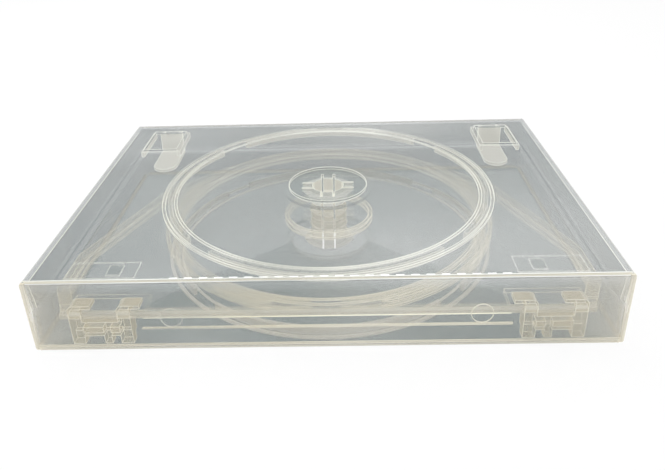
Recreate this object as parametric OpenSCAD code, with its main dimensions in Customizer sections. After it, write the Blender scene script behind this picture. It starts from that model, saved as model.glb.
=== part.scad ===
// Clear disc case for several discs, closed and lying on its back cover.
// X runs along the spine, Y from the spine to the open edge, Z up.
// The origin is the middle of the footprint, on the surface that the case lies on.

/* [Case] */
// Length of the case along the spine
case_w = 190; // [188:1:196]
// Thickness of the closed case
case_t = 27; // [27:0.5:32]
// Thickness of the two cover plates
plate_t = 1.2; // [1:0.1:1.4]
// Thickness of the side walls and the open-edge wall
wall_t = 2; // [1.8:0.1:2.4]
// Thickness of the spine
spine_t = 1.2; // [1:0.1:1.4]
// Radius of the outer edges of the plates
edge_r = 1.6; // [1:0.1:1.8]
// Radius of the upright corners at the open edge
corner_r = 3; // [2:0.5:4]
// Gap between the walls of the two covers
part_gap = 0.1; // [0.05:0.05:0.2]
// Height of the lip that laps inside the front cover
lip_h = 1.2; // [0.8:0.1:1.6]
// Thickness of that lip
lip_t = 0.8; // [0.6:0.1:0.9]
// Clearance around that lip
lip_gap = 0.25; // [0.2:0.05:0.3]
// How far the lip stops short of the side walls' ends
lip_end = 4; // [3:0.5:8]
// Length of the shallow hollow inside each side wall of the back cover
hollow_len = 64; // [50:1:80]
// Height of that hollow
hollow_h = 9.5; // [8:0.5:10]
// Depth of that hollow
hollow_depth = 0.6; // [0.4:0.1:0.8]
// Distance from the spine to that hollow
hollow_start = 12; // [8:1:20]
// Half length of the thumb recess in the open edge
thumb_half = 44; // [30:1:50]
// Height of the thumb recess
thumb_h = 6; // [4:0.5:7]
// Depth of the thumb recess
thumb_depth = 0.9; // [0.6:0.1:1]

/* [Living hinges] */
// Radius of the folded hinge bead along each long edge of the spine
bead_r = 0.45; // [0.4:0.05:0.5]
// Running gap around the bead
bead_gap = 0.1; // [0.08:0.01:0.15]
// Gap between the bevelled edges at a hinge
bevel_gap = 0.15; // [0.1:0.05:0.25]
// Lean of the side wall ends away from the spine
end_lean = 2; // [1:0.5:3]
// Gap between the side wall ends and the spine
end_gap = 0.4; // [0.3:0.1:0.6]

/* [Disc wells] */
// Radius of a disc
disc_r = 60; // [59.8:0.1:60.2]
// Gap between a disc's edge and the fence around it
disc_gap = 1; // [0.5:0.1:1.3]
// Thickness of the fence
fence_t = 1.3; // [1:0.1:1.5]
// Height of the fence in the covers
cover_fence_h = 3; // [2.5:0.1:3.5]
// Height of the fence on each face of the tray
tray_fence_h = 1.4; // [1:0.1:2]
// Width of the four finger gaps in a fence
fence_gap = 13; // [10:1:20]
// Width of the low step under the disc's edge
step_w = 1; // [0.6:0.1:1]
// Height of that step
step_h = 0.3; // [0.2:0.1:0.3]
// Gap between the fence and the low ring outside it
rim_gap = 1.1; // [0.8:0.1:1.4]
// Width of the low ring
rim_w = 1.2; // [0.8:0.1:1.4]
// Height of the low ring
rim_h = 0.8; // [0.5:0.1:1]
// Distance from the low ring to the spine's outer face
rim_to_spine = 2.4; // [2.2:0.1:3.4]
// Distance from the low ring to the outer face of the open edge
rim_to_edge = 4.4; // [4:0.1:8]

/* [Disc hubs] */
// Radius of the round recess behind each cover's hub
recess_r = 15.4; // [14:0.1:17]
// Depth of that recess
recess_h = 1; // [0.8:0.1:1.2]
// Radius of the hole in a disc
hole_r = 7.5; // [7.5:0.05:7.6]
// Clearance between the hub and that hole
hub_gap = 0.2; // [0.1:0.05:0.3]
// How far the holding bead stands out of the hub
hub_bead = 0.25; // [0.1:0.05:0.3]
// Share of the hub's height below the bead
bead_low = 0.45; // [0.4:0.05:0.55]
// Share of the hub's height below the widest part of the bead
bead_high = 0.65; // [0.6:0.05:0.8]
// How much the hub narrows to its tip
hub_taper = 0.4; // [0.2:0.1:0.8]
// Wall thickness of the hub
hub_wall = 1.1; // [0.8:0.1:1.4]
// Thickness of the hub's closed end
hub_cap = 1; // [0.8:0.1:1.4]
// Height of the hubs in the covers
cover_hub_h = 5; // [4:0.1:5.2]
// Height of the hubs on the tray
tray_hub_h = 4; // [3:0.1:4.2]
// Width of the slots that free the hub's fingers
slot_w = 0.9; // [0.6:0.1:1.1]
// Spacing between the two slots of a finger
slot_pitch = 4.7; // [4:0.1:5.5]
// Radius that the slots reach
slot_reach = 9.8; // [9:0.1:11]
// Distance from the recess to the ring that the disc rests on
seat_gap = 0.8; // [0.8:0.1:1.6]
// Width of that ring
seat_w = 1.4; // [1:0.1:2]
// Height of that ring
seat_h = 0.6; // [0.4:0.1:0.8]

/* [Booklet clips] */
// Distance from the case's end to the middle of a clip
clip_in = 18.5; // [17:0.5:19]
// Width of a clip's tongue
clip_w = 10.5; // [9:0.5:11.5]
// Gap between the tongue and the cover plate
clip_gap = 8.8; // [6:0.1:9]
// Thickness of the tongue and its leg
clip_t = 1.2; // [1:0.1:1.5]
// Distance from the open edge to the clip's leg
clip_back = 8; // [6:0.5:10]
// Length of the tongue
clip_len = 23; // [18:0.5:26]
// Width of the moulding window behind the tongue
window_w = 15; // [13.5:0.5:16]
// Height of the ribs beside the window
window_rib_h = 2.4; // [1:0.1:3]
// Width of the gussets behind the leg
gusset_w = 3; // [2:0.5:4]
// Height of those gussets
gusset_h = 4.5; // [3:0.5:6]

/* [Tray] */
// Height of the tray's hinge rod above the ground
rod_z = 12.1; // [12:0.1:12.5]
// Distance from the spine's outer face to the hinge rod
rod_y = 3.2; // [3.1:0.1:3.6]
// Radius of the hinge rod
rod_r = 1.4; // [1.2:0.05:1.5]
// Thickness of the tray's plate
tray_t = 1.6; // [1.2:0.1:1.8]
// Height of the plate's middle above the rod's
tray_rise = 0.5; // [0.4:0.1:0.6]
// Width of the tray's plate beyond the low ring
tray_margin = 1; // [0.6:0.1:1.2]
// Gap between the tray and the inside of the side walls
tray_gap = 1.7; // [1.5:0.1:3]
// How much narrower each side of the tray is at the rod
rod_in = 5.8; // [5:0.1:8]
// Distance from the rod to where the tray has its full width
rail_start = 12; // [8:1:16]
// Distance from the rod to where the slanting edges start
rail_len = 33.5; // [28:0.5:40]
// Distance from the middle of the disc to where the slanting edges end
slant_y = 20.2; // [16:0.1:24]
// How far the slanting edges end outside the tray's round plate
slant_out = 5.9; // [4:0.1:8]
// Width of the thickened rim along the rails
rail_w = 4; // [3:0.1:4.5]
// How far the thickened rim stands proud of the plate
rail_h = 0.7; // [0.4:0.1:0.9]
// Depth of the windows in the tray behind the brackets
bracket_window = 9; // [8:0.5:12]
// Gap between a bracket and the sides of its window
window_gap = 0.8; // [0.6:0.1:1.5]
// Distance from the rod in which the tray's faces are plain, to clear the spine as the tray turns
tray_relief = 3; // [2.8:0.1:4]

/* [Tray brackets] */
// Distance from the case's end to the middle of a bracket
bracket_in = 24; // [23:0.5:25]
// Width of a bracket
bracket_w = 23.3; // [22:0.1:24]
// Width of a hook's upright
hook_w = 4; // [3.5:0.1:4.5]
// Width of a hook's top
hook_top_w = 7.5; // [6:0.1:8]
// Height of the hook tops above the ground
hook_z = 16.6; // [16.4:0.1:17.4]
// Radius of a hook top's outer corner
hook_round = 2.2; // [1:0.1:2.5]
// How far the hook's foot is cut back below the lower shelf
foot_cut = 1.5; // [1:0.1:2]
// Thickness of the brackets' lower shelf and hook tops
shelf_t = 1.2; // [1:0.1:1.4]
// Thickness of the bar under the rod
bar_h = 2; // [1.5:0.1:2.5]
// Gap between the rod and that bar
bar_gap = 0.4; // [0.3:0.1:0.6]
// Thickness of the rib down the middle of a bracket
rib_t = 2.4; // [1.5:0.1:3]
// How far that rib stops short of the shelf's edge
rib_back = 0.5; // [0.3:0.1:1]
// Thickness of the hook beyond the rod
hook_wall = 1.1; // [1:0.1:1.3]
// Running clearance between the rod and the hooks
rod_gap = 0.1; // [0.05:0.01:0.1]
// Width of the snap mouth of a hook
mouth_w = 2.2; // [1.8:0.1:2.3]
// Gap between the brackets and the back cover
bracket_lift = 0.6; // [0.4:0.1:0.8]
// Height of the lower shelf above the ground
low_shelf_z = 5; // [4.5:0.1:5.5]

/* [Moulding marks] */
// Height of the ledge along the spine's inner face above the ground
ledge_z = 7.4; // [7:0.1:8]
// Height and depth of that ledge
ledge_t = 0.5; // [0.3:0.1:0.8]
// Radius of the round marks on the spine's inner face
pin_mark_r = 3.5; // [3:0.5:4]
// Depth of the round marks
pin_mark_depth = 0.2; // [0.1:0.1:0.3]
// Height of the round marks above the ground
pin_mark_z = 11.9; // [11:0.1:13]
// Distance from a bracket's middle to the round mark beside it
pin_mark_in = 21.5; // [18:0.5:25]
// Length of the shallow mark in the front cover over each bracket
mark_w = 22; // [18:1:24]
// Width of that mark
mark_d = 9; // [7:1:11]
// Depth of that mark
mark_depth = 0.3; // [0.2:0.1:0.4]
// Distance from the spine to that mark
mark_in = 2; // [1.6:0.1:4]
// Length of the deeper spot in that mark
spot_w = 4.4; // [3:0.1:6]
// Width of that spot
spot_d = 5.6; // [4:0.1:6]
// Depth of that spot
spot_depth = 0.7; // [0.5:0.1:0.8]
// Distance from the middle of the mark to the spot, towards the middle of the case
spot_in = 4; // [0:0.5:6]
// Distance from the middle of the mark to the spot, towards the spine
spot_down = 0.6; // [0:0.1:1]

/* [Sleeve] */
// Thickness of the clear outer sleeve
film_t = 0.2; // [0.15:0.05:0.3]
// Distance from the sleeve's edges to the case's ends
film_end = 2; // [2:0.1:4]
// Distance from the sleeve to the open edge
film_back = 4; // [3:0.5:6]
// Distance from the sleeve's panels to the hinge folds
film_fold = 0.6; // [0.55:0.05:0.8]

/* [Hidden] */
$fn = 96;

// What the disc and its gaps give
hub_r = hole_r - hub_gap;
seat_r = recess_r + seat_gap;
fence_r = disc_r + disc_gap;
rim_r = fence_r + fence_t + rim_gap + rim_w;
well_y = rim_to_spine + rim_r;
case_d = well_y + rim_r + rim_to_edge;

// The faces of the case
front_y = -case_d / 2 + film_t;
back_y = case_d / 2;
end_x = case_w / 2;
inner_x = end_x - wall_t;
inner_back = back_y - wall_t;
spine_in = front_y + spine_t;
floor_z = film_t + plate_t;
fold_y = front_y + bead_r;
fold_z = film_t + bead_r;
wall_top = (case_t - part_gap) / 2;
lip_start = spine_in + end_gap + end_lean + lip_end;
disc_y = -case_d / 2 + well_y;
clip_x = end_x - clip_in;
clip_leg_y = back_y - clip_back - clip_t;
clip_front_y = back_y - clip_back - clip_len;

// The tray and its brackets
pin_y = -case_d / 2 + rod_y;
tray_mid = rod_z + tray_rise;
tray_low = tray_mid - tray_t / 2;
tray_edge_r = rim_r + tray_margin;
tray_half_w = inner_x - tray_gap;
bracket_x = end_x - bracket_in;
bracket_low = floor_z + bracket_lift;
bracket_half = bracket_w / 2;
window_half = bracket_half + window_gap;
hook_front_y = pin_y + rod_r + rod_gap + hook_wall;

// The corners of the tray's right half, up to where its edge meets the round
rail_foot = [tray_half_w - rod_in, pin_y];
rail_bend = [tray_half_w, pin_y + rail_start];
rail_end = [tray_half_w, pin_y + rail_len];
neck = [tray_edge_r + slant_out, disc_y + slant_y];
neck_reach = norm([neck.x, slant_y]);
tangent_turn = atan2(slant_y, neck.x) + acos(tray_edge_r / neck_reach);
tangent = [tray_edge_r * cos(tangent_turn), disc_y + tray_edge_r * sin(tangent_turn)];

// How far pieces sink into what they stand on, and cuts reach past what they cut
eps = 0.01;
over = 1;
fold_cut = 5;

clear_plastic = [0.72, 0.76, 0.74, 0.45];
cream_plastic = [0.78, 0.77, 0.68, 0.55];
clear_film = [0.85, 0.88, 0.9, 0.25];

// A square with its two lower corners rounded, standing on y = low
module low_rounded(half, low, high, r) {
    translate([-half, low + r]) square([2 * half, high - low - r]);
    translate([-half + r, low]) square([2 * (half - r), r + eps]);
    for (side = [-1, 1])
        translate([side * (half - r), low + r]) circle(r);
}

// The outer form of one cover, with rounded edges and upright corners
module cover_form(high) {
    intersection() {
        linear_extrude(high) plan_outline();
        rotate([90, 0, 0]) linear_extrude(case_d + over, center = true)
            low_rounded(end_x, film_t, high + over, edge_r);
        rotate([90, 0, 90]) linear_extrude(case_w + over, center = true)
            intersection() {
                translate([-edge_r, 0]) low_rounded(back_y + edge_r, film_t, high + over, edge_r);
                translate([front_y, 0]) square([case_d, high + over]);
            }
    }
}

// The footprint, with round corners at the open edge
module plan_outline() {
    translate([-end_x, front_y]) square([case_w, case_d - film_t - corner_r]);
    translate([-end_x + corner_r, front_y]) square([case_w - 2 * corner_r, case_d - film_t]);
    for (side = [-1, 1])
        translate([side * (end_x - corner_r), back_y - corner_r]) circle(corner_r);
}

// What is taken from a cover beside the spine: the bevel, the bead's groove and the leaning wall ends
module spine_side_cut(high) {
    rotate([90, 0, 90]) linear_extrude(case_w + over, center = true) {
        polygon([
            [fold_y - fold_cut, fold_z - fold_cut], [fold_y, fold_z - fold_cut],
            [fold_y, fold_z - bevel_gap], [fold_y + plate_t + bevel_gap, fold_z + plate_t],
            [fold_y + plate_t + bevel_gap, high + over], [fold_y - fold_cut, high + over]
        ]);
        polygon([
            [fold_y - fold_cut, floor_z], [spine_in + end_gap, floor_z],
            [spine_in + end_gap + end_lean, high + over], [fold_y - fold_cut, high + over]
        ]);
    }
    rotate([0, 90, 0]) translate([-fold_z, fold_y, 0])
        cylinder(h = case_w + over, r = bead_r + bead_gap, center = true);
}

// The cuts that free the four fingers of a hub
module hub_slots(low, high) {
    for (turn = [0 : 90 : 270], side = [-1, 1])
        rotate(turn) translate([0, side * slot_pitch / 2, low]) {
            translate([slot_pitch / 2, -slot_w / 2, 0])
                cube([slot_reach - slot_pitch / 2, slot_w, high - low]);
            translate([slot_reach, 0, 0]) cylinder(h = high - low, d = slot_w, $fn = 24);
        }
}

// The outside of a hub that stands on z = 0, with its holding bead near the tip
module hub_post(h) {
    rotate_extrude()
        polygon([
            [0, -eps], [hub_r, -eps], [hub_r, h * bead_low], [hub_r + hub_bead, h * bead_high],
            [hub_r - hub_taper, h], [0, h]
        ]);
}

// A fence with finger gaps, standing on z = 0
module fence(h) {
    difference() {
        cylinder(h = h, r = fence_r + fence_t, $fn = 180);
        translate([0, 0, -over]) cylinder(h = h + 2 * over, r = fence_r, $fn = 180);
        for (turn = [45 : 90 : 315])
            rotate(turn) translate([fence_r - 2 * over, -fence_gap / 2, -over])
                cube([fence_t + 4 * over, fence_gap, h + 2 * over]);
    }
}

// A low ring, standing on z = 0
module ring(r, w, h) {
    difference() {
        cylinder(h = h, r = r, $fn = 180);
        translate([0, 0, -over]) cylinder(h = h + 2 * over, r = r - w, $fn = 180);
    }
}

// One cover with its disc well, lying with its outer face down
module cover(high) {
    difference() {
        union() {
            difference() {
                cover_form(high);
                translate([-inner_x, -case_d / 2 - over, floor_z])
                    cube([2 * inner_x, inner_back + case_d / 2 + over, high]);
            }
            translate([0, disc_y, floor_z - eps]) {
                fence(cover_fence_h);
                ring(rim_r, rim_w, rim_h);
                ring(disc_r, step_w, step_h);
                ring(seat_r + seat_w, seat_w, recess_h + seat_h);
                cylinder(h = recess_h, r = seat_r + seat_w);
                translate([0, 0, recess_h]) hub_post(cover_hub_h);
            }
        }
        translate([0, disc_y, 0]) {
            cylinder(h = film_t + recess_h, r = recess_r);
            cylinder(h = floor_z + recess_h + cover_hub_h - hub_cap, r = hub_r - hub_wall);
            hub_slots(0, floor_z + recess_h + cover_hub_h + over);
        }
        spine_side_cut(high);
    }
}

// A box that follows the open edge and both sides, at a distance in from the outer faces
module rim_box(inset, low, h, start) {
    translate([-(end_x - inset), start, low])
        cube([2 * (end_x - inset), back_y - inset - start, h]);
}

module back_cover() {
    color(clear_plastic) difference() {
        union() {
            cover(wall_top);
            difference() {
                rim_box(wall_t - lip_t, wall_top - over, lip_h + over, lip_start);
                rim_box(wall_t, wall_top - 2 * over, lip_h + 3 * over, lip_start - over);
            }
        }
        for (side = [0, 1])
            mirror([side, 0, 0]) translate([inner_x - over, spine_in + hollow_start, floor_z])
                cube([hollow_depth + over, hollow_len, hollow_h]);
    }
}

// The clip that holds a booklet: a leg at the open edge and a tongue with a round end
module booklet_clip() {
    tongue_z = floor_z + clip_gap;
    translate([-clip_w / 2, clip_leg_y, floor_z - eps])
        cube([clip_w, clip_t, clip_gap + clip_t + eps]);
    translate([-clip_w / 2, clip_front_y + clip_w / 2, tongue_z])
        cube([clip_w, clip_len - clip_w / 2, clip_t]);
    translate([0, clip_front_y + clip_w / 2, tongue_z]) cylinder(h = clip_t, d = clip_w);
    for (side = [-1, 1])
        translate([side * (clip_w / 2 - clip_t) - clip_t / 2, clip_leg_y + clip_t - eps, floor_z - eps])
            rotate([90, 0, 90]) linear_extrude(clip_t)
                polygon([[0, 0], [gusset_w, 0], [0, gusset_h]]);
}

// The opening in the plate under a tongue
module clip_window() {
    translate([-window_w / 2, clip_front_y, 0])
        cube([window_w, clip_len - clip_t, floor_z + over]);
}

// The ribs along both sides of that opening
module window_ribs() {
    for (side = [0, 1])
        mirror([side, 0, 0]) translate([window_w / 2, clip_front_y, floor_z - eps])
            cube([clip_t, clip_len, window_rib_h]);
}

// The shallow steps that the moulding leaves over each bracket
module bracket_marks() {
    for (side = [0, 1])
        mirror([side, 0, 0]) translate([bracket_x, spine_in + mark_in + mark_d / 2, floor_z + over]) {
            translate([0, 0, -mark_depth]) cube([mark_w, mark_d, 2 * over], center = true);
            translate([-spot_in, -spot_down, -spot_depth])
                cube([spot_w, spot_d, 2 * over], center = true);
        }
}

module front_cover() {
    color(clear_plastic) translate([0, 0, case_t]) mirror([0, 0, 1]) difference() {
        union() {
            cover(wall_top);
            for (side = [-1, 1])
                translate([side * clip_x, 0, 0]) {
                    booklet_clip();
                    window_ribs();
                }
        }
        for (side = [-1, 1])
            translate([side * clip_x, 0, 0]) clip_window();
        rim_box(wall_t - lip_t - lip_gap, wall_top - lip_h - lip_gap, lip_h + lip_gap + over,
            spine_in);
        translate([-thumb_half, back_y - thumb_depth, floor_z])
            cube([2 * thumb_half, thumb_depth + over, thumb_h]);
        bracket_marks();
    }
}

// One hook: an upright with a bore and a snap mouth, and a top that reaches over the rod
module hook(outer) {
    hook_d = hook_front_y - spine_in;
    difference() {
        union() {
            translate([outer - hook_w, spine_in - eps, bracket_low])
                cube([hook_w, hook_d, hook_z - bracket_low]);
            translate([outer - hook_top_w, spine_in - eps, hook_z - shelf_t])
                cube([hook_top_w, hook_d, shelf_t]);
        }
        translate([outer - hook_w - over, pin_y, rod_z]) rotate([0, 90, 0])
            cylinder(h = hook_w + 2 * over, r = rod_r + rod_gap, $fn = 64);
        translate([outer - hook_w - over, pin_y, rod_z - mouth_w / 2])
            cube([hook_w + 2 * over, hook_d, mouth_w]);
        // the upper outer corner is rounded
        translate([outer - hook_round, spine_in - over, hook_z - hook_round]) difference() {
            cube([hook_round + over, hook_d + 2 * over, hook_round + over]);
            rotate([-90, 0, 0])
                cylinder(h = 2 * (hook_d + 3 * over), r = hook_round, center = true, $fn = 48);
        }
        // the foot is cut back below the lower shelf
        translate([outer - hook_w - over, hook_front_y - foot_cut, bracket_low - over])
            cube([hook_w + 2 * over, foot_cut + over, low_shelf_z - bracket_low + over]);
    }
}

// One bracket of two hooks, with the bar and shelf between them and a rib down the middle
module bracket() {
    bar_top = rod_z - rod_r - bar_gap;
    shelf_d = pin_y + rod_r - spine_in;
    inner = -bracket_half + hook_top_w;
    hook(bracket_half);
    hook(inner);
    translate([inner - hook_w, spine_in - eps, bar_top - bar_h])
        cube([bracket_half - inner + hook_w - eps, shelf_d, bar_h]);
    translate([inner - hook_w, spine_in - eps, low_shelf_z])
        cube([bracket_half - inner + hook_w - eps, shelf_d, shelf_t]);
    translate([-rib_t / 2, spine_in - eps, bracket_low])
        cube([rib_t, shelf_d - rib_back, bar_top - bracket_low]);
}

// The outline that rounds the spine's lower corners
module spine_end_form() {
    rotate([90, 0, 0]) linear_extrude(case_d + over, center = true)
        low_rounded(end_x, film_t, case_t, edge_r);
}

// The bevel along the spine's lower long edge, at the fold
module spine_bevel() {
    rotate([90, 0, 90]) linear_extrude(case_w + over, center = true)
        polygon([
            [fold_y - fold_cut, fold_z - fold_cut], [fold_y - fold_cut, fold_z], [fold_y, fold_z],
            [fold_y + fold_cut, fold_z + fold_cut + bevel_gap], [fold_y + fold_cut, fold_z - fold_cut]
        ]);
}

// The spine's plate, with its corners rounded and its long edges bevelled
module spine_plate() {
    difference() {
        intersection() {
            translate([-end_x, front_y, 0]) cube([case_w, spine_t, case_t]);
            spine_end_form();
            translate([0, 0, case_t]) mirror([0, 0, 1]) spine_end_form();
        }
        for (side = [0, 1])
            translate([0, 0, side * case_t]) mirror([0, 0, side]) spine_bevel();
    }
}

module spine() {
    color(cream_plastic) {
        difference() {
            spine_plate();
            for (side = [-1, 1])
                translate([side * (bracket_x - pin_mark_in), spine_in - pin_mark_depth, pin_mark_z])
                    rotate([-90, 0, 0]) cylinder(h = over, r = pin_mark_r);
        }
        for (z = [fold_z, case_t - fold_z])
            translate([0, fold_y, z]) rotate([0, 90, 0])
                cylinder(h = case_w - 2 * edge_r, r = bead_r, center = true, $fn = 32);
        for (side = [0, 1])
            mirror([side, 0, 0]) translate([bracket_x, 0, 0]) bracket();
        translate([-bracket_x + bracket_half, spine_in - eps, ledge_z])
            cube([2 * (bracket_x - bracket_half), ledge_t, ledge_t]);
    }
}

module tray_outline() {
    difference() {
        union() {
            translate([0, disc_y]) circle(tray_edge_r, $fn = 180);
            polygon([
                rail_foot, rail_bend, rail_end, neck, tangent,
                [-tangent.x, tangent.y], [-neck.x, neck.y], [-rail_end.x, rail_end.y],
                [-rail_bend.x, rail_bend.y], [-rail_foot.x, rail_foot.y]
            ]);
        }
        translate([-case_w, pin_y - case_d]) square([2 * case_w, case_d]);
        for (side = [-1, 1])
            translate([side * bracket_x - window_half, pin_y - over])
                square([2 * window_half, bracket_window + over]);
    }
}

// The thickened rim inside one straight stretch of the tray's edge, from a to b
module edge_bar(a, b) {
    along = b - a;
    translate(a) rotate(atan2(along.y, along.x)) translate([-over, -over])
        square([norm(along) + 2 * over, rail_w + over]);
}

// The thickened rim along a rail and its slanting edges
module rail_rim() {
    intersection() {
        union() {
            edge_bar(rail_foot, rail_bend);
            edge_bar(rail_bend, rail_end);
            edge_bar(rail_end, neck);
            edge_bar(neck, tangent);
        }
        tray_outline();
    }
}

// The fence, the two rings and the hub on one face of the tray
module tray_face() {
    difference() {
        union() {
            translate([0, disc_y, -eps]) {
                fence(tray_fence_h);
                ring(rim_r, rim_w, rim_h);
                ring(disc_r, step_w, step_h);
                ring(seat_r + seat_w, seat_w, seat_h);
                hub_post(tray_hub_h);
            }
            for (side = [0, 1])
                translate([0, 0, -eps]) mirror([side, 0, 0]) linear_extrude(rail_h) rail_rim();
        }
        translate([-case_w, pin_y + tray_relief - case_d, -over])
            cube([2 * case_w, case_d, tray_hub_h + 2 * over]);
    }
}

module flip_tray() {
    hub_reach = tray_t / 2 + tray_hub_h;
    color(clear_plastic) difference() {
        union() {
            translate([0, 0, tray_low]) linear_extrude(tray_t) tray_outline();
            translate([0, 0, tray_low + tray_t]) tray_face();
            translate([0, 0, tray_low]) mirror([0, 0, 1]) tray_face();
            translate([0, pin_y, rod_z]) rotate([0, 90, 0])
                cylinder(h = 2 * rail_foot.x, r = rod_r, center = true, $fn = 64);
        }
        translate([0, disc_y, tray_mid]) {
            cylinder(h = 2 * (hub_reach - hub_cap), r = hub_r - hub_wall, center = true);
            hub_slots(-hub_reach - over, hub_reach + over);
        }
    }
}

// One panel of the sleeve on a cover's outer face, lying with that face down
module cover_sleeve() {
    translate([-end_x + film_end, fold_y + film_fold, 0])
        cube([case_w - 2 * film_end, back_y - film_back - fold_y - film_fold, film_t]);
}

module sleeve_back() {
    color(clear_film) cover_sleeve();
}

module sleeve_front() {
    color(clear_film) translate([0, 0, case_t]) mirror([0, 0, 1]) cover_sleeve();
}

module sleeve_spine() {
    color(clear_film) translate([-end_x + film_end, front_y - film_t, fold_z + film_fold])
        cube([case_w - 2 * film_end, film_t, case_t - 2 * (fold_z + film_fold)]);
}

back_cover();
spine();
front_cover();
flip_tray();
sleeve_back();
sleeve_spine();
sleeve_front();
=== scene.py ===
import math

import bmesh
import bpy
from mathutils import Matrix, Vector


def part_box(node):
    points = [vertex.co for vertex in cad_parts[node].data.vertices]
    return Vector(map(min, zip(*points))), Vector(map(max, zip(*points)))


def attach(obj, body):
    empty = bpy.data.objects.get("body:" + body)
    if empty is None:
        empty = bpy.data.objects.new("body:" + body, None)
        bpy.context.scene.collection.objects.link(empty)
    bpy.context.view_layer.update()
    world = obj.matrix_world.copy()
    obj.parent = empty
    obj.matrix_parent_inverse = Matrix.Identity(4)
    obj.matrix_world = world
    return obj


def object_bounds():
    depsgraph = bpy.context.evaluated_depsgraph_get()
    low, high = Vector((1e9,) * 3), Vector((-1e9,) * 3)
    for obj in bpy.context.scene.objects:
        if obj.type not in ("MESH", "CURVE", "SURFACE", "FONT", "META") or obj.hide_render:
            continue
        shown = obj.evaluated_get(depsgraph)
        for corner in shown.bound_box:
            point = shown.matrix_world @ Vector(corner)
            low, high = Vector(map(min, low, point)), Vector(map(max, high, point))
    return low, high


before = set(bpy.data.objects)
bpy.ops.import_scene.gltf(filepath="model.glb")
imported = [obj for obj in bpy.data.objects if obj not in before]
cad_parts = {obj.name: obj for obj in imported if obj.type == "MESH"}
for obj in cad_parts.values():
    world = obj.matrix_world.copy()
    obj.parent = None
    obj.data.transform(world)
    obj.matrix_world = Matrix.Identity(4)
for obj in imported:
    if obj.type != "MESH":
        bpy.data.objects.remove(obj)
cadLow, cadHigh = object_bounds()
cadMiddle = (cadLow + cadHigh) / 2
print("stage: frame loaded,", len(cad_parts), "nodes")

mm = 0.001
wellCentreY = -1 * mm  # the discs lie this far from the case's middle, towards the spine
wallInside = {"x": 93 * mm, "y": 66 * mm}
rearLine = 62 * mm  # behind it lies the covers' open edge
white = (1.0, 1.0, 1.0, 1.0)
# plasticTone and milkyTone darken every plastic colour as painted shade, for the grey seen through the case
plasticTone = 0.52
milkyTone = 0.8
shadowShare = 0.15  # how much of its shadow clear plastic keeps


# small helpers for node trees

def addNode(tree, kind, inputs=None, **settings):
    node = tree.nodes.new(kind)
    for name, value in settings.items():
        setattr(node, name, value)
    for key, value in (inputs or {}).items():
        joinOrSet(tree, node.inputs[key], value)
    return node


def joinOrSet(tree, socket, value):
    if isinstance(value, bpy.types.NodeSocket):
        tree.links.new(value, socket)
    else:
        socket.default_value = value


def result(tree, kind, inputs=None, **settings):
    return addNode(tree, kind, inputs, **settings).outputs[0]


def calc(tree, operation, first, second=0.0, clamp=False):
    return result(tree, "ShaderNodeMath", {0: first, 1: second}, operation=operation, use_clamp=clamp)


def lessShare(tree, value, mask, loss):
    # lowers a value by the share that is lost where the mask is 1
    return calc(tree, "MULTIPLY", value, calc(tree, "SUBTRACT", 1.0, calc(tree, "MULTIPLY", mask, loss)))


def length2d(tree, first, second):
    return calc(tree, "SQRT", calc(tree, "ADD", calc(tree, "MULTIPLY", first, first),
                                   calc(tree, "MULTIPLY", second, second)))


def within(tree, value, low, high):
    return calc(tree, "MULTIPLY", calc(tree, "GREATER_THAN", value, low), calc(tree, "LESS_THAN", value, high))


def ramp(tree, value, low, high, first=0.0, last=1.0):
    return result(tree, "ShaderNodeMapRange", {"Value": value, "From Min": low, "From Max": high,
                                               "To Min": first, "To Max": last})


def mixColour(tree, factor, first, second):
    node = addNode(tree, "ShaderNodeMix", data_type="RGBA")
    for index, value in ((0, factor), (6, first), (7, second)):
        joinOrSet(tree, node.inputs[index], value)
    return node.outputs[2]


def objectPlace(tree):
    place = addNode(tree, "ShaderNodeTexCoord").outputs["Object"]
    return addNode(tree, "ShaderNodeSeparateXYZ", {0: place}).outputs


def fadeForLight(tree, alpha):
    # clear plastic lets most of the rays through that only carry light
    path = addNode(tree, "ShaderNodeLightPath").outputs
    lightRay = calc(tree, "MAXIMUM", path["Is Shadow Ray"], path["Is Diffuse Ray"])
    return lessShare(tree, alpha, lightRay, 1.0 - shadowShare)


def srgb(red, green, blue):
    channels = [c / 255 for c in (red, green, blue)]
    return tuple(c / 12.92 if c <= 0.04045 else ((c + 0.055) / 1.055) ** 2.4 for c in channels) + (1.0,)


def tinted(red, green, blue, tone=plasticTone):
    # a colour of the clear plastic, darkened by a tone: painted shade for the grey seen through the stacked
    # layers
    return tuple(c * tone for c in srgb(red, green, blue)[:3]) + (1.0,)


def milky(red, green, blue):
    return tinted(red, green, blue, milkyTone)


def newMaterial(name):
    material = bpy.data.materials.new(name)
    material.use_nodes = True
    return material, material.node_tree


def newGroup(name, inputs, outputs):
    group = bpy.data.node_groups.new(name, "ShaderNodeTree")
    for label, value in inputs:
        group.interface.new_socket(label, in_out="INPUT", socket_type="NodeSocketFloat").default_value = value
    for label in outputs:
        group.interface.new_socket(label, in_out="OUTPUT", socket_type="NodeSocketFloat")
    return group, group.nodes.new("NodeGroupInput").outputs, group.nodes.new("NodeGroupOutput").inputs


# shared effects

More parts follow.
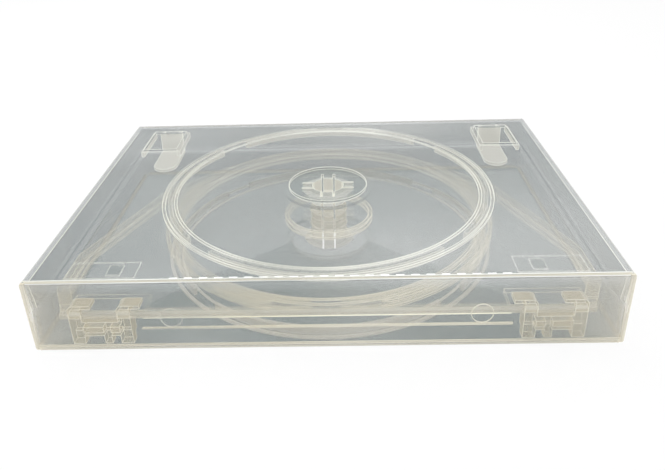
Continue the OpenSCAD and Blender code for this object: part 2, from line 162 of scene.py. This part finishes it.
def makeMouldedSurface():
    # flow haze, faint ripples and a painted highlight on rounded edges (faces between upright and level), for
    # every moulded part
    group, entry, leave = newGroup("mouldedSurface",
                                   (("Haze Scale", 14.0), ("Ripple Scale", 26.0), ("Ripple Stretch", 0.35)),
                                   ("Haze", "Ripple", "Rounded Edge"))
    place = addNode(group, "ShaderNodeTexCoord").outputs["Object"]
    haze = result(group, "ShaderNodeTexNoise", {"Vector": place, "Scale": entry["Haze Scale"],
                                                "Detail": 2.0, "Roughness": 0.5})
    stretch = result(group, "ShaderNodeCombineXYZ", {0: 1.0, 1: entry["Ripple Stretch"], 2: 1.0})
    drawn = result(group, "ShaderNodeVectorMath", {0: place, 1: stretch}, operation="MULTIPLY")
    ripple = result(group, "ShaderNodeTexNoise", {"Vector": drawn, "Detail": 1.0,
                                                  "Scale": entry["Ripple Scale"]})
    normal = addNode(group, "ShaderNodeNewGeometry").outputs["Normal"]
    up = calc(group, "ABSOLUTE", addNode(group, "ShaderNodeSeparateXYZ", {0: normal}).outputs[2])
    side = calc(group, "SQRT", calc(group, "SUBTRACT", 1.0, calc(group, "MULTIPLY", up, up), clamp=True))
    rounded = calc(group, "MULTIPLY", calc(group, "MULTIPLY", up, side), 2.0, clamp=True)
    group.links.new(ramp(group, haze, 0.3, 0.7), leave["Haze"])
    group.links.new(ripple, leave["Ripple"])
    group.links.new(rounded, leave["Rounded Edge"])
    return group


zoneSizes = {"wallSlack": 0.05 * mm, "plateDepth": 1.45 * mm, "edgeReach": 1.4 * mm, "rearLoss": 0.8,
             "hubRadius": 10 * mm, "seatRadius": 18.5 * mm, "end": (48 * mm, 94 * mm), "lipHalf": 1.5 * mm,
             "front": (45 * mm, -55 * mm), "sideSkin": 1 * mm, "plateSkin": 0.8 * mm}


def makeCaseZones():
    # masks by a point's place on the case: outer wall, raised form inside, outer edge (where a painted
    # highlight goes), hub, the seat round it, the case's ends, the parting lip, nearness to the front, and the
    # outer skin
    sizes = (("Plate Depth", zoneSizes["plateDepth"]), ("Edge Reach", zoneSizes["edgeReach"]),
             ("Hub Radius", zoneSizes["hubRadius"]))
    group, entry, leave = newGroup("caseZones", sizes, ("Wall", "Raised", "Edge", "Hub", "Seat", "End", "Lip",
                                                        "Front", "Skin"))
    place = objectPlace(group)
    across = calc(group, "ABSOLUTE", place[0])
    wall = calc(group, "MAXIMUM", calc(group, "GREATER_THAN", across, wallInside["x"] - zoneSizes["wallSlack"]),
                calc(group, "GREATER_THAN", place[1], wallInside["y"] - zoneSizes["wallSlack"]))
    fromMiddle = calc(group, "ABSOLUTE", calc(group, "SUBTRACT", place[2], cadMiddle.z))
    depth = calc(group, "SUBTRACT", cadMiddle.z - cadLow.z, fromMiddle)
    deep = calc(group, "GREATER_THAN", depth, entry["Plate Depth"])
    near = []
    for axis in range(3):
        half = (cadHigh[axis] - cadLow[axis]) / 2
        fromAxisMiddle = calc(group, "ABSOLUTE", calc(group, "SUBTRACT", place[axis], cadMiddle[axis]))
        away = calc(group, "SUBTRACT", half, fromAxisMiddle)
        near.append(calc(group, "SUBTRACT", 1.0, calc(group, "DIVIDE", away, entry["Edge Reach"], clamp=True)))
    pairs = [calc(group, "MULTIPLY", near[a], near[b]) for a, b in ((0, 1), (0, 2), (1, 2))]
    edge = calc(group, "MAXIMUM", calc(group, "MAXIMUM", pairs[0], pairs[1]), pairs[2])
    rear = calc(group, "GREATER_THAN", place[1], rearLine)
    radius = length2d(group, place[0], calc(group, "SUBTRACT", place[1], wellCentreY))
    hub = calc(group, "LESS_THAN", radius, entry["Hub Radius"])
    lip = calc(group, "LESS_THAN", fromMiddle, zoneSizes["lipHalf"])
    along = calc(group, "ABSOLUTE", place[1])
    sideSkin = calc(group, "MAXIMUM", calc(group, "GREATER_THAN", across, cadHigh.x - zoneSizes["sideSkin"]),
                    calc(group, "GREATER_THAN", along, cadHigh.y - zoneSizes["sideSkin"]))
    plateSkin = calc(group, "LESS_THAN", depth, zoneSizes["plateSkin"])
    masks = {"Wall": wall, "Raised": lessShare(group, deep, wall, 1.0),
             "Edge": lessShare(group, edge, rear, zoneSizes["rearLoss"]), "Hub": hub,
             "Seat": calc(group, "SUBTRACT", calc(group, "LESS_THAN", radius, zoneSizes["seatRadius"]), hub),
             "End": ramp(group, across, *zoneSizes["end"]),
             "Lip": calc(group, "MULTIPLY", lip, wall),
             "Front": ramp(group, place[1], *zoneSizes["front"]),
             "Skin": calc(group, "MAXIMUM", sideSkin, plateSkin)}
    for name, mask in masks.items():
        group.links.new(mask, leave[name])
    return group


mouldedSurface = makeMouldedSurface()
caseZones = makeCaseZones()


# clear plastic: clear on its outer faces, grey on its inward faces as painted shade, milky where it is raised
# or thick, with a painted highlight on edges plateIn and wallIn are how solid the inward faces look, plateOut
# and wallOut the outer ones

frontPlastic = {"plate": tinted(128, 149, 147), "outside": milky(204, 209, 211), "milky": milky(238, 235, 222),
                "edge": milky(246, 246, 240), "wall": tinted(132, 149, 149), "plateIn": 0.45, "plateOut": 0.065,
                "wallIn": 0.56, "wallOut": 0.14, "grazingAlpha": 0.05, "raisedAlpha": 0.2, "hubAlpha": 0.5,
                "rearShare": 1.0, "seatMilky": 0.0, "roundAlpha": 0.4, "edgeAlpha": 0.2, "endAlpha": 0.0,
                "roughness": 0.1, "ior": 1.9}
backPlastic = {"plate": tinted(126, 147, 144), "outside": milky(204, 209, 211), "milky": milky(216, 212, 198),
               "edge": milky(226, 217, 194), "wall": tinted(132, 149, 149), "plateIn": 0.62, "plateOut": 0.12,
               "wallIn": 0.56, "wallOut": 0.14, "grazingAlpha": 0.06, "raisedAlpha": 0.05, "hubAlpha": 0.2,
               "rearShare": 0.5, "seatMilky": 0.0, "roundAlpha": 0.3, "edgeAlpha": 0.2, "endAlpha": 0.0,
               "roughness": 0.14, "ior": 1.6}
spinePlastic = {"plate": tinted(172, 176, 173), "outside": tinted(172, 176, 173), "milky": milky(222, 211, 180),
                "edge": milky(244, 239, 220), "wall": milky(230, 223, 204), "plateIn": 0.3, "plateOut": 0.03,
                "wallIn": 0.3, "wallOut": 0.03, "grazingAlpha": 0.08, "raisedAlpha": 0.3, "hubAlpha": 0.0,
                "rearShare": 1.0, "seatMilky": 1.0, "roundAlpha": 0.3, "edgeAlpha": 0.4, "endAlpha": 0.28,
                "roughness": 0.12, "ior": 1.8}
trayPlastic = {"plate": tinted(164, 171, 171), "outside": tinted(164, 171, 171), "milky": milky(236, 227, 200),
               "edge": milky(238, 233, 215), "wall": tinted(164, 171, 171), "plateIn": 0.03, "plateOut": 0.03,
               "wallIn": 0.03, "wallOut": 0.03, "grazingAlpha": 0.04, "raisedAlpha": 0.26, "hubAlpha": 0.4,
               "rearShare": 0.4, "seatMilky": 1.0, "roundAlpha": 0.3, "edgeAlpha": 0.0, "endAlpha": 0.0,
               "roughness": 0.12, "ior": 1.7}
plasticFinish = {"hazeTint": 0.15, "hazeRoughness": 0.08, "grazingPower": 1.5, "lipLoss": 0.25,
                 "rippleBump": 0.02, "rippleHeight": 1 * mm}
raisedPlaces = {"bracketStart": 1.25 * mm, "trayPlateHalf": 0.85 * mm, "rodReach": 2.9 * mm}


def coverRaised(tree, zones):
    return zones["Raised"]


def spineRaised(tree, zones):
    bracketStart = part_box("spine")[0].y + raisedPlaces["bracketStart"]  # just inside the spine's inner face
    return calc(tree, "GREATER_THAN", objectPlace(tree)[1], bracketStart)


def trayRaised(tree, zones):
    # what stands proud of the tray's plate, and the rod along its front edge
    low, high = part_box("flip_tray")
    place = objectPlace(tree)
    fromPlate = calc(tree, "ABSOLUTE", calc(tree, "SUBTRACT", place[2], (low.z + high.z) / 2))
    proud = calc(tree, "GREATER_THAN", fromPlate, raisedPlaces["trayPlateHalf"])
    rod = calc(tree, "LESS_THAN", place[1], low.y + raisedPlaces["rodReach"])
    return calc(tree, "MAXIMUM", proud, rod)


def makeClearPlastic(name, look, raisedMask):
    material, tree = newMaterial(name)
    shader = tree.nodes["Principled BSDF"]
    surface = addNode(tree, "ShaderNodeGroup", node_tree=mouldedSurface).outputs
    zones = addNode(tree, "ShaderNodeGroup", node_tree=caseZones).outputs
    notFront = calc(tree, "SUBTRACT", 1.0, zones["Front"])
    raised = lessShare(tree, raisedMask(tree, zones), notFront, 1.0 - look["rearShare"])
    raised = lessShare(tree, raised, zones["Seat"], 1.0 - look["seatMilky"])
    behind = addNode(tree, "ShaderNodeNewGeometry").outputs["Backfacing"]
    ahead = calc(tree, "SUBTRACT", 1.0, behind)
    fromInside = calc(tree, "ABSOLUTE", calc(tree, "SUBTRACT", zones["Skin"], ahead))
    ends = calc(tree, "MULTIPLY", zones["End"], 1.0 if look["endAlpha"] else 0.0)
    outside = lessShare(tree, calc(tree, "SUBTRACT", 1.0, fromInside), ends, 1.0)
    colour = mixColour(tree, calc(tree, "MAXIMUM", zones["Wall"], ends), look["plate"], look["wall"])
    # the edge tint on rounded edges and along the outer edge is a painted highlight
    for mask, tint in ((outside, "outside"), (raised, "milky"),
                       (calc(tree, "MULTIPLY", surface["Haze"], plasticFinish["hazeTint"]), "milky"),
                       (calc(tree, "MAXIMUM", surface["Rounded Edge"], zones["Edge"]), "edge")):
        colour = mixColour(tree, mask, colour, look[tint])
    facing = addNode(tree, "ShaderNodeLayerWeight", {"Blend": 0.5}).outputs["Facing"]
    grazing = calc(tree, "POWER", facing, plasticFinish["grazingPower"])
    alpha = calc(tree, "MULTIPLY", grazing, look["grazingAlpha"])
    for mask, share in ((surface["Rounded Edge"], "roundAlpha"), (zones["Edge"], "edgeAlpha"),
                        (raised, "raisedAlpha"), (calc(tree, "MULTIPLY", zones["Hub"], raised), "hubAlpha"),
                        (ends, "endAlpha")):
        alpha = calc(tree, "ADD", alpha, calc(tree, "MULTIPLY", mask, look[share]))
    # the solid grey of the inward faces is painted shade for the grey seen through the case
    plate = ramp(tree, fromInside, 0.0, 1.0, look["plateOut"], look["plateIn"])
    wall = ramp(tree, fromInside, 0.0, 1.0, look["wallOut"], look["wallIn"])
    grey = calc(tree, "ADD", plate, calc(tree, "MULTIPLY", zones["Wall"], calc(tree, "SUBTRACT", wall, plate)))
    alpha = calc(tree, "ADD", alpha, grey, clamp=True)
    alpha = fadeForLight(tree, lessShare(tree, alpha, zones["Lip"], plasticFinish["lipLoss"]))
    hazeRoughness = calc(tree, "MULTIPLY", surface["Haze"], plasticFinish["hazeRoughness"])
    bump = result(tree, "ShaderNodeBump", {"Height": surface["Ripple"], "Strength": plasticFinish["rippleBump"],
                                           "Distance": plasticFinish["rippleHeight"]})
    tree.links.new(colour, shader.inputs["Base Color"])
    tree.links.new(alpha, shader.inputs["Alpha"])
    tree.links.new(calc(tree, "ADD", look["roughness"], hazeRoughness), shader.inputs["Roughness"])
    tree.links.new(bump, shader.inputs["Normal"])
    shader.inputs["IOR"].default_value = look["ior"]
    return material


# sleeve film: clear, with noise patches of painted sheen and a paler band along the fold, a painted highlight

sleeveFilm = {"colour": srgb(200, 206, 208), "sheen": srgb(240, 242, 242), "alpha": 0.02,
              "grazingAlpha": 0.06, "sheenAlpha": 0.1, "haze": (0.45, 0.7), "roughness": 0.1, "ior": 2.0,
              "waveScale": 11.0, "waveStrength": 0.15, "waveHeight": 2 * mm, "foldHighlightAlpha": 0.22,
              "foldReach": 5 * mm, "foldDepth": 1 * mm}


def makeSleeveFilm():
    material, tree = newMaterial("sleeveFilm")
    shader = tree.nodes["Principled BSDF"]
    place = addNode(tree, "ShaderNodeTexCoord").outputs["Object"]
    wave = result(tree, "ShaderNodeTexNoise", {"Vector": place, "Scale": sleeveFilm["waveScale"],
                                               "Detail": 1.0})
    # the haze noise here is painted sheen: paler, more solid patches of film
    haze = ramp(tree, wave, *sleeveFilm["haze"])
    colour = mixColour(tree, haze, sleeveFilm["colour"], sleeveFilm["sheen"])
    facing = addNode(tree, "ShaderNodeLayerWeight", {"Blend": 0.5}).outputs["Facing"]
    spot = addNode(tree, "ShaderNodeSeparateXYZ", {0: place}).outputs
    # a painted highlight: the film grows more solid and paler in a band along the spine's upper edge
    fold = calc(tree, "MULTIPLY", ramp(tree, spot[2], cadHigh.z - sleeveFilm["foldReach"], cadHigh.z),
                calc(tree, "LESS_THAN", spot[1], cadLow.y + sleeveFilm["foldDepth"]))
    alpha = calc(tree, "MULTIPLY", facing, sleeveFilm["grazingAlpha"])
    alpha = calc(tree, "ADD", alpha, calc(tree, "MULTIPLY", haze, sleeveFilm["sheenAlpha"]))
    alpha = calc(tree, "ADD", alpha, sleeveFilm["alpha"])
    alpha = calc(tree, "ADD", alpha, calc(tree, "MULTIPLY", fold, sleeveFilm["foldHighlightAlpha"]))
    bump = result(tree, "ShaderNodeBump", {"Height": wave, "Strength": sleeveFilm["waveStrength"],
                                           "Distance": sleeveFilm["waveHeight"]})
    tree.links.new(colour, shader.inputs["Base Color"])
    tree.links.new(fadeForLight(tree, alpha), shader.inputs["Alpha"])
    tree.links.new(bump, shader.inputs["Normal"])
    shader.inputs["Roughness"].default_value = sleeveFilm["roughness"]
    shader.inputs["IOR"].default_value = sleeveFilm["ior"]
    return material


filmMaterial = makeSleeveFilm()

for nodeName, material in (("back_cover", makeClearPlastic("clearBack", backPlastic, coverRaised)),
                           ("front_cover", makeClearPlastic("clearFront", frontPlastic, coverRaised)),
                           ("spine", makeClearPlastic("clearSpine", spinePlastic, spineRaised)),
                           ("flip_tray", makeClearPlastic("clearTray", trayPlastic, trayRaised)),
                           ("sleeve_back", filmMaterial), ("sleeve_spine", filmMaterial),
                           ("sleeve_front", filmMaterial)):
    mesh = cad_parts[nodeName].data
    mesh.materials.clear()
    mesh.materials.append(material)
print("stage: plastic and film on the CAD nodes")


# painted highlights: a fine bright tube along every sharp edge of a moulding, with a faint painted glow, left
# off near the covers' parting line
# a look's rings are inner radius, outer radius (mm) and how strongly edges show there; marks and rear are the
# shares that stay at the bracket marks and behind the rear line, and lean is what is lost towards the rear

edgeHighlights = {"radius": 0.13 * mm, "sharpAngle": 24.0, "sides": 5, "mergeReach": 0.002 * mm, "roughness": 0.25,
             "unevenness": (0.2, 0.55), "partingHalf": 2.05 * mm, "noParting": -1.0, "leanReach": 50 * mm}
markBox = {"x": (59.5 * mm, 82.8 * mm), "y": (-65.2 * mm, -54.6 * mm)}
evenShares = {"rings": (), "marks": 1.0, "rear": 1.0, "lean": 0.0}
frontEdges = {"colour": srgb(240, 240, 224), "bright": srgb(255, 255, 246), "alpha": 0.75, "ownLight": 0.15,
              "rings": ((15.6, 18.6, 0.06), (60.4, 63.1, 0.45)), "marks": 0.3, "rear": 0.12, "lean": 0.3}
backEdges = {"colour": srgb(214, 208, 190), "bright": srgb(226, 220, 202), "alpha": 0.26, "ownLight": 0.03,
             "rings": ((15.2, 15.7, 3.0), (15.7, 18.6, 0.5), (60.4, 63.1, 0.5)), "marks": 1.0, "rear": 0.5,
             "lean": 0.3}
spineEdges = {"colour": srgb(238, 231, 208), "bright": srgb(248, 243, 226), "alpha": 0.55, "ownLight": 0.08,
              **evenShares}
trayEdges = {"colour": srgb(236, 230, 208), "bright": srgb(246, 241, 222), "alpha": 0.36, "ownLight": 0.08,
             "rings": ((15.0, 18.6, 2.4), (60.4, 63.1, 0.5)), "marks": 1.0, "rear": 1.0, "lean": 0.6}


def edgeShare(tree, look):
    # how strongly an edge shows, by its distance from the middle of the disc, towards the rear and at the marks
    place = objectPlace(tree)
    across = calc(tree, "ABSOLUTE", place[0])
    radius = length2d(tree, across, calc(tree, "SUBTRACT", place[1], wellCentreY))
    share = 1.0
    for low, high, part in look["rings"]:
        ring = within(tree, radius, low * mm, high * mm)
        share = calc(tree, "ADD", share, calc(tree, "MULTIPLY", ring, part - 1.0))
    toRear = ramp(tree, place[1], -edgeHighlights["leanReach"], edgeHighlights["leanReach"])
    share = lessShare(tree, share, toRear, look["lean"])
    rear = calc(tree, "GREATER_THAN", place[1], rearLine)
    mark = calc(tree, "MULTIPLY", within(tree, across, *markBox["x"]), within(tree, place[1], *markBox["y"]))
    for mask, part in ((rear, look["rear"]), (mark, look["marks"])):
        share = calc(tree, "ADD", share, calc(tree, "MULTIPLY", mask, part - 1.0))
    return share


def makeEdgeMaterial(name, look):
    material, tree = newMaterial(name)
    shader = tree.nodes["Principled BSDF"]
    surface = addNode(tree, "ShaderNodeGroup", node_tree=mouldedSurface).outputs
    colour = mixColour(tree, surface["Haze"], look["colour"], look["bright"])
    fade = calc(tree, "MULTIPLY", ramp(tree, surface["Ripple"], *edgeHighlights["unevenness"]), look["alpha"])
    fade = calc(tree, "MULTIPLY", fade, edgeShare(tree, look), clamp=True)
    tree.links.new(colour, shader.inputs["Base Color"])
    # the emission is a painted glow on these highlights and light lines
    tree.links.new(colour, shader.inputs["Emission Color"])
    tree.links.new(fadeForLight(tree, fade), shader.inputs["Alpha"])
    shader.inputs["Emission Strength"].default_value = look["ownLight"]
    shader.inputs["Roughness"].default_value = edgeHighlights["roughness"]
    return material


def newTree(name, sockets):
    tree = bpy.data.node_groups.new(name, "GeometryNodeTree")
    tree.interface.new_socket("Geometry", in_out="INPUT", socket_type="NodeSocketGeometry")
    for label, kind in sockets:
        tree.interface.new_socket(label, in_out="INPUT", socket_type="NodeSocket" + kind)
    tree.interface.new_socket("Material", in_out="INPUT", socket_type="NodeSocketMaterial")
    tree.interface.new_socket("Geometry", in_out="OUTPUT", socket_type="NodeSocketGeometry")
    return tree, tree.nodes.new("NodeGroupInput").outputs


def tubeAlong(tree, curve, sides, radius):
    profile = result(tree, "GeometryNodeCurvePrimitiveCircle", {"Resolution": sides, "Radius": radius})
    return result(tree, "GeometryNodeCurveToMesh", {"Curve": curve, "Profile Curve": profile,
                                                    "Fill Caps": True})


def finishTree(tree, entry, shape):
    plain = result(tree, "GeometryNodeRealizeInstances", {"Geometry": shape})
    painted = result(tree, "GeometryNodeSetMaterial", {"Geometry": plain, "Material": entry["Material"]})
    tree.links.new(painted, tree.nodes.new("NodeGroupOutput").inputs["Geometry"])
    return tree


def makeEdgeHighlightTree():
    # a tube of painted highlight along every sharp edge, held inside the case's box and clear of the parting
    # line
    tree, entry = newTree("edgeHighlight", (("Highlight Radius", "Float"), ("Sharp Angle", "Float"), ("Sides", "Int"),
                                       ("Low Corner", "Vector"), ("High Corner", "Vector"),
                                       ("Parting Height", "Float"), ("Parting Half", "Float")))
    angle = addNode(tree, "GeometryNodeInputMeshEdgeAngle").outputs["Unsigned Angle"]
    place = result(tree, "GeometryNodeInputPosition")
    height = addNode(tree, "ShaderNodeSeparateXYZ", {0: place}).outputs[2]
    fromParting = calc(tree, "ABSOLUTE", calc(tree, "SUBTRACT", height, entry["Parting Height"]))
    sharp, clear = (result(tree, "FunctionNodeCompare", {0: value, 1: limit}, operation="GREATER_THAN")
                    for value, limit in ((angle, entry["Sharp Angle"]), (fromParting, entry["Parting Half"])))
    wanted = result(tree, "FunctionNodeBooleanMath", {0: sharp, 1: clear}, operation="AND")
    lines = result(tree, "GeometryNodeMeshToCurve", {"Mesh": entry["Geometry"], "Selection": wanted})
    for corner, operation in (("Low Corner", "MAXIMUM"), ("High Corner", "MINIMUM")):
        place = result(tree, "ShaderNodeVectorMath", {0: place, 1: entry[corner]}, operation=operation)
    moved = result(tree, "GeometryNodeSetPosition", {"Geometry": lines, "Position": place})
    return finishTree(tree, entry, tubeAlong(tree, moved, entry["Sides"], entry["Highlight Radius"]))


def runTree(source, tree, values, name):
    # evaluates a Geometry Nodes tree on a mesh and keeps the result as a plain object
    holder = bpy.data.objects.new(name + "Source", source)
    bpy.context.scene.collection.objects.link(holder)
    modifier = holder.modifiers.new("shape", "NODES")
    modifier.node_group = tree
    for socket in tree.interface.items_tree:
        if socket.in_out == "INPUT" and socket.name in values:
            modifier[socket.identifier] = values[socket.name]
    graph = bpy.context.evaluated_depsgraph_get()
    mesh = bpy.data.meshes.new_from_object(holder.evaluated_get(graph))
    holder.modifiers.remove(modifier)
    bpy.data.objects.remove(holder)
    piece = bpy.data.objects.new(name, mesh)
    bpy.context.scene.collection.objects.link(piece)
    print("  piece", name, len(mesh.polygons), "faces")
    return piece


def mergedCopy(nodeName):
    work = bmesh.new()
    work.from_mesh(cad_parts[nodeName].data)
    bmesh.ops.remove_doubles(work, verts=work.verts, dist=edgeHighlights["mergeReach"])
    copy = bpy.data.meshes.new(nodeName + "Merged")
    work.to_mesh(copy)
    work.free()
    return copy


def addEdges(nodeName, body, look, partingHalf):
    radius = edgeHighlights["radius"]
    inset = Vector((radius, radius, radius))
    values = {"Highlight Radius": radius, "Sharp Angle": math.radians(edgeHighlights["sharpAngle"]),
              "Sides": edgeHighlights["sides"], "Low Corner": cadLow + inset, "High Corner": cadHigh - inset,
              "Parting Height": cadMiddle.z, "Parting Half": partingHalf,
              "Material": makeEdgeMaterial(nodeName + "Edge", look)}
    piece = runTree(mergedCopy(nodeName), edgeHighlightTree, values, nodeName + "_edges")
    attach(piece, body)


# painted highlights with a faint painted glow: a bright line along the sleeve's fold on the spine's upper edge
# with its row of glints, and a bright line along the tray's rod

foldHighlightLook = {"colour": srgb(232, 234, 234), "bright": srgb(246, 247, 246), "alpha": 0.62, "ownLight": 0.1,
            **evenShares}
glintLook = {"colour": srgb(255, 255, 252), "bright": srgb(255, 255, 255), "alpha": 0.9, "ownLight": 0.35,
             **evenShares}
rodHighlightLook = {"colour": srgb(244, 238, 210), "bright": srgb(255, 252, 232), "alpha": 0.8, "ownLight": 0.25,
           **evenShares}
foldHighlightLines = {"fold_highlight_spine": {"body": "spine", "halfLength": 93 * mm, "y": -67.81 * mm, "z": 26.2 * mm,
                                   "radius": 0.18 * mm, "sides": 8},
             "fold_highlight_front": {"body": "front", "halfLength": 93 * mm, "y": -66.98 * mm, "z": 26.82 * mm,
                                   "radius": 0.17 * mm, "sides": 8}}
rodHighlightLine = {"halfLength": 58.8 * mm, "y": -66.0 * mm, "z": 11.35 * mm, "radius": 0.22 * mm, "sides": 8}
foldGlints = {"from": -47 * mm, "to": 56 * mm, "y": -66.7 * mm, "z": 26.86 * mm, "count": 23,
              "length": 2.6 * mm, "depth": 0.5 * mm, "height": 0.1 * mm}


def makeLineTree():
    tree, entry = newTree("lightLine", (("Start", "Vector"), ("End", "Vector"), ("Sides", "Int"),
                                        ("Radius", "Float")))
    line = result(tree, "GeometryNodeCurvePrimitiveLine", {"Start": entry["Start"], "End": entry["End"]})
    return finishTree(tree, entry, tubeAlong(tree, line, entry["Sides"], entry["Radius"]))


def makeGlintTree():
    tree, entry = newTree("foldGlints", (("Start", "Vector"), ("End", "Vector"), ("Count", "Int"),
                                         ("Glint Size", "Vector")))
    line = result(tree, "GeometryNodeCurvePrimitiveLine", {"Start": entry["Start"], "End": entry["End"]})
    row = result(tree, "GeometryNodeCurveToPoints", {"Curve": line, "Count": entry["Count"]}, mode="COUNT")
    glint = result(tree, "GeometryNodeMeshCube", {"Size": entry["Glint Size"]})
    placed = result(tree, "GeometryNodeInstanceOnPoints", {"Points": row, "Instance": glint})
    return finishTree(tree, entry, placed)


def addLine(name, body, look, line):
    start, end = (Vector((side * line["halfLength"], line["y"], line["z"])) for side in (-1, 1))
    values = {"Start": start, "End": end, "Sides": line["sides"], "Radius": line["radius"],
              "Material": makeEdgeMaterial(name + "Light", look)}
    piece = runTree(bpy.data.meshes.new(name), lineTree, values, name)
    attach(piece, body)


def addGlints():
    start, end = (Vector((foldGlints[key], foldGlints["y"], foldGlints["z"])) for key in ("from", "to"))
    values = {"Start": start, "End": end, "Count": foldGlints["count"],
              "Glint Size": Vector((foldGlints["length"], foldGlints["depth"], foldGlints["height"])),
              "Material": makeEdgeMaterial("glintLight", glintLook)}
    piece = runTree(bpy.data.meshes.new("foldGlints"), makeGlintTree(), values, "sleeve_fold_glints")
    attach(piece, "front")


edgeHighlightTree = makeEdgeHighlightTree()
lineTree = makeLineTree()
for lineName, foldHighlightLine in foldHighlightLines.items():
    addLine(lineName, foldHighlightLine["body"], foldHighlightLook, foldHighlightLine)
addGlints()
addLine("rod_highlight_line", "tray", rodHighlightLook, rodHighlightLine)
addEdges("back_cover", "back", backEdges, edgeHighlights["partingHalf"])
addEdges("front_cover", "front", frontEdges, edgeHighlights["partingHalf"])
addEdges("spine", "spine", spineEdges, edgeHighlights["noParting"])
addEdges("flip_tray", "tray", trayEdges, edgeHighlights["noParting"])
print("stage: light lines and bright edges")


# floor, light and camera; lengths in metres, powers in watts

studio = {"floorRadius": 4.0, "floorSides": 64, "floorGap": 0.2 * mm, "floorColour": srgb(250, 250, 250),
          "floorOwnLight": 0.78, "worldStrength": 0.8}
keyLamp = {"power": 2.0, "size": 0.5, "place": (-0.25, 0.35, 0.6)}
fillLamp = {"power": 0.8, "size": 0.8, "place": (0.3, -0.6, 0.5)}
lampHeightShare = 0.6
photoView = {"sensorWidth": 36, "lens": 35.56, "shift": (0.0042, -0.0827), "clipStart": 0.01,
             "place": (6.59 * mm, -236.15 * mm, 140.91 * mm), "turn": (64.361, 1.521, 0.678)}


def seenDirectly(tree):
    path = addNode(tree, "ShaderNodeLightPath").outputs
    return calc(tree, "MAXIMUM", calc(tree, "MAXIMUM", path["Is Camera Ray"], path["Is Glossy Ray"]),
                path["Is Transmission Ray"])


def makeFloor():
    bpy.ops.mesh.primitive_circle_add(vertices=studio["floorSides"], radius=studio["floorRadius"],
                                      fill_type="NGON", location=(0, 0, cadLow.z - studio["floorGap"]))
    floor = bpy.context.object
    floor.name = "floor"
    material, tree = newMaterial("paleFloor")
    tree.nodes.remove(tree.nodes["Principled BSDF"])
    plain = result(tree, "ShaderNodeBsdfDiffuse", {"Color": studio["floorColour"]})
    own = result(tree, "ShaderNodeEmission", {"Color": white, "Strength": 1.0})
    share = calc(tree, "MULTIPLY", seenDirectly(tree), studio["floorOwnLight"])
    mix = result(tree, "ShaderNodeMixShader", {0: share, 1: plain, 2: own})
    tree.links.new(mix, tree.nodes["Material Output"].inputs["Surface"])
    floor.data.materials.append(material)


def makeWorld():
    # white where it is seen, and a little weaker where it only gives light
    world = bpy.data.worlds.new("studio")
    bpy.context.scene.world = world
    world.use_nodes = True
    world.cycles.sampling_method = "NONE"
    tree = world.node_tree
    base = tree.nodes["Background"]
    base.inputs["Color"].default_value = white
    strength = calc(tree, "ADD", studio["worldStrength"],
                    calc(tree, "MULTIPLY", seenDirectly(tree), 1.0 - studio["worldStrength"]))
    tree.links.new(strength, base.inputs["Strength"])


def addLamp(name, look):
    lamp = bpy.data.lights.new(name, "AREA")
    lamp.energy = look["power"]
    lamp.shape = "RECTANGLE"
    lamp.size = look["size"]
    lamp.size_y = look["size"] * lampHeightShare
    holder = bpy.data.objects.new(name, lamp)
    holder.location = look["place"]
    holder.rotation_euler = (-Vector(look["place"])).to_track_quat("-Z", "Y").to_euler()
    bpy.context.scene.collection.objects.link(holder)


def addCamera():
    camera = bpy.data.cameras.new("photoView")
    camera.sensor_width = photoView["sensorWidth"]
    camera.lens = photoView["lens"]
    camera.shift_x, camera.shift_y = photoView["shift"]
    camera.clip_start = photoView["clipStart"]
    holder = bpy.data.objects.new("photoView", camera)
    holder.location = photoView["place"]
    holder.rotation_euler = [math.radians(angle) for angle in photoView["turn"]]
    bpy.context.scene.collection.objects.link(holder)
    bpy.context.scene.camera = holder


makeFloor()
makeWorld()
addLamp("key", keyLamp)
addLamp("fill", fillLamp)
addCamera()
scene = bpy.context.scene
scene.view_settings.view_transform = "Standard"
scene.cycles.transparent_max_bounces = 96  # many clear layers lie over each other
scene.cycles.max_bounces = 5
scene.cycles.diffuse_bounces = 3
print("stage: studio and camera")
